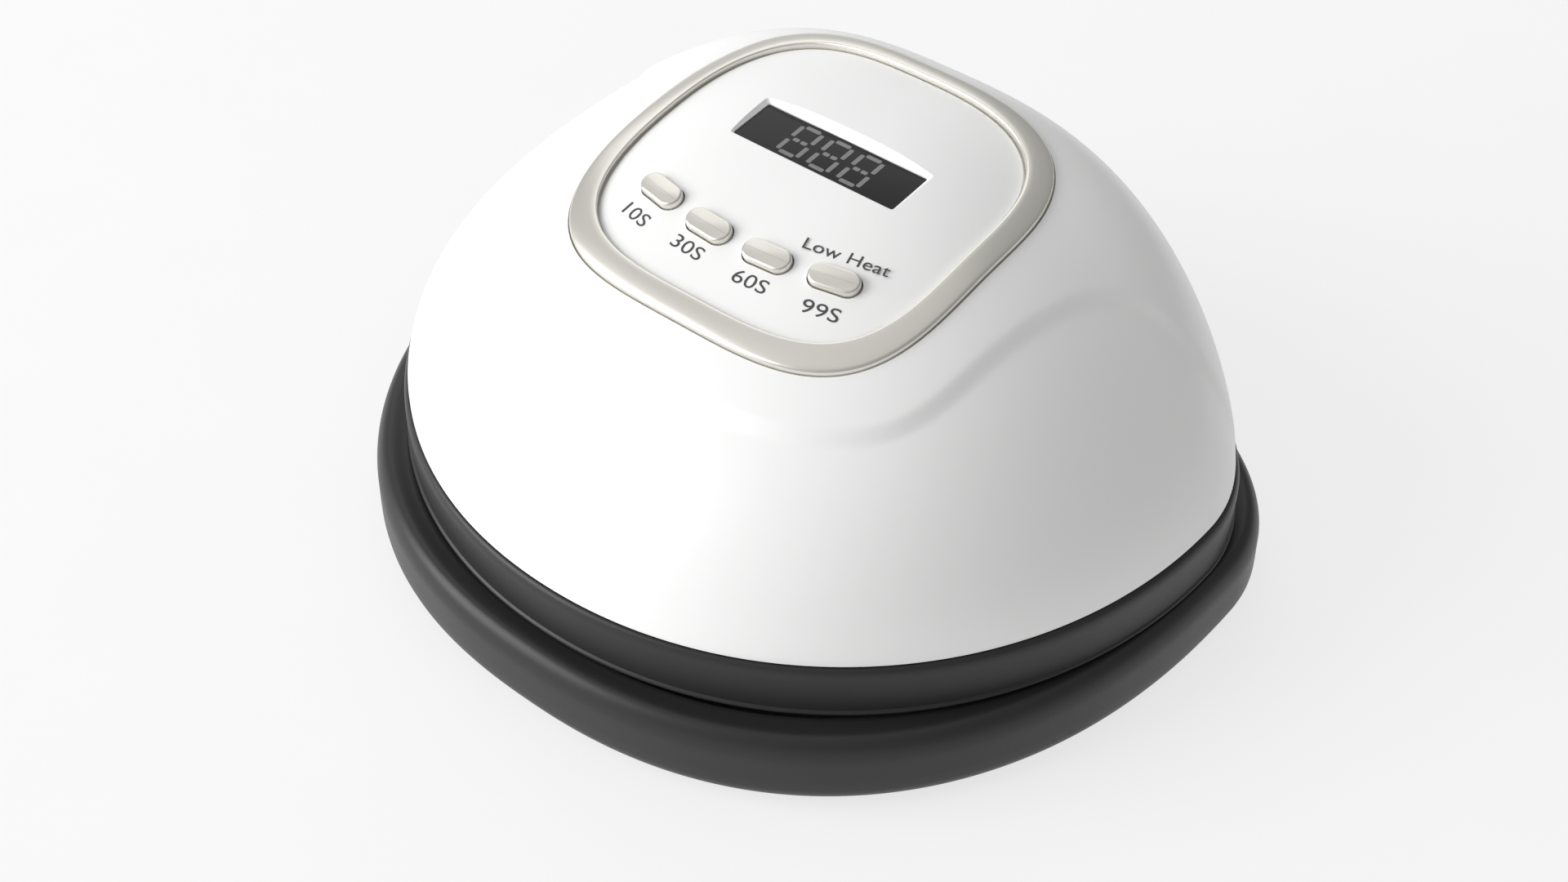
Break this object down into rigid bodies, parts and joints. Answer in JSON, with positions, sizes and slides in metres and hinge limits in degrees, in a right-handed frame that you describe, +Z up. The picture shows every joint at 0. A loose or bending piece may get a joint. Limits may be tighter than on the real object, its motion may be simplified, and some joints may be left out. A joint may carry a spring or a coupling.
{
  "type": "uv curing lamp",
  "caption": "Domed tabletop curing lamp with a control panel, a display, push buttons, a hand opening at the back and a removable magnetic base tray.",
  "frame": {"origin": "centre of the footprint, on the surface that the rubber feet stand on", "axes": "+Z up, -Y towards the side from which the display reads, +Y towards the hand opening, +X to the right of a reader at -Y"},
  "size_m": [0.24, 0.2, 0.1071],
  "materials": {
    "tray_plastic": "moulded ABS, satin",
    "band_plastic": "moulded ABS, satin",
    "shell_plastic": "moulded ABS, polished white",
    "panel_plastic": "moulded ABS, white, fine satin",
    "trim_metal": "vacuum-metallised, champagne silver",
    "button_metal": "vacuum-metallised, champagne silver",
    "window_acrylic": "smoked acrylic",
    "module_plastic": "moulded",
    "board_laminate": "glass-epoxy laminate with solder mask",
    "chip_plastic": "moulded epoxy",
    "reflector_plastic": "bright white reflector plastic",
    "mirror_sheet": "mirror-finished sheet",
    "magnet_nickel": "nickel plated",
    "foot_rubber": "matt rubber",
    "screw_steel": "zinc plated",
    "led_board_white": "aluminium-cored board with white solder mask",
    "led_lens": "clear lens over a yellow die",
    "sensor_lens": "dark infrared-passing epoxy",
    "socket_plastic": "moulded nylon",
    "contact_brass": "plated brass",
    "cable_pvc": "flat ribbon, PVC",
    "wire_pvc": "stranded wire, PVC"
  },
  "bodies": {
    "tray": {"base_tray": "tray_plastic", "tray_reflector": "mirror_sheet", "tray_magnets": "magnet_nickel", "tray_feet": "foot_rubber"},
    "head": {"top_shell": "shell_plastic", "lower_housing": "band_plastic", "housing_flange": "band_plastic", "shell_posts": "shell_plastic", "housing_screws": "screw_steel", "control_panel": "panel_plastic", "trim_ring": "trim_metal", "display_window": "window_acrylic", "display_module": "module_plastic", "control_board": "board_laminate", "control_chips": "chip_plastic", "board_screws": "screw_steel", "board_posts": "shell_plastic", "tact_switches": "chip_plastic", "reflector_ceiling": "reflector_plastic", "reflector_skirt": "reflector_plastic", "led_board_top": "led_board_white", "led_beads_top": "led_lens", "led_boards_side": "led_board_white", "led_beads_side": "led_lens", "ir_sensor": "sensor_lens", "dc_inlet": "socket_plastic", "dc_contact_pin": "contact_brass", "head_magnets": "magnet_nickel", "ribbon_cable": "cable_pvc", "power_wires": "wire_pvc"},
    "button_10s": {"button_10s": "button_metal"},
    "button_30s": {"button_30s": "button_metal"},
    "button_60s": {"button_60s": "button_metal"},
    "button_99s": {"button_99s": "button_metal"}
  },
  "joints": [
    {"name": "head_lift", "type": "slide", "parent": "tray", "child": "head", "axis": [0, 0, 1], "range_m": [0, 0.06]},
    {"name": "button_10s_press", "type": "slide", "parent": "head", "child": "button_10s", "axis": [0.095, 0.3021, -0.9485], "range_m": [0, 0.0008], "stiffness_N_per_m": 200, "springref_m": -0.0003},
    {"name": "button_30s_press", "type": "slide", "parent": "head", "child": "button_30s", "axis": [0.0133, 0.3233, -0.9462], "range_m": [0, 0.0008], "stiffness_N_per_m": 200, "springref_m": -0.0003},
    {"name": "button_60s_press", "type": "slide", "parent": "head", "child": "button_60s", "axis": [-0.0133, 0.3233, -0.9462], "range_m": [0, 0.0008], "stiffness_N_per_m": 200, "springref_m": -0.0003},
    {"name": "button_99s_press", "type": "slide", "parent": "head", "child": "button_99s", "axis": [-0.095, 0.3021, -0.9485], "range_m": [0, 0.0008], "stiffness_N_per_m": 200, "springref_m": -0.0003}
  ]
}
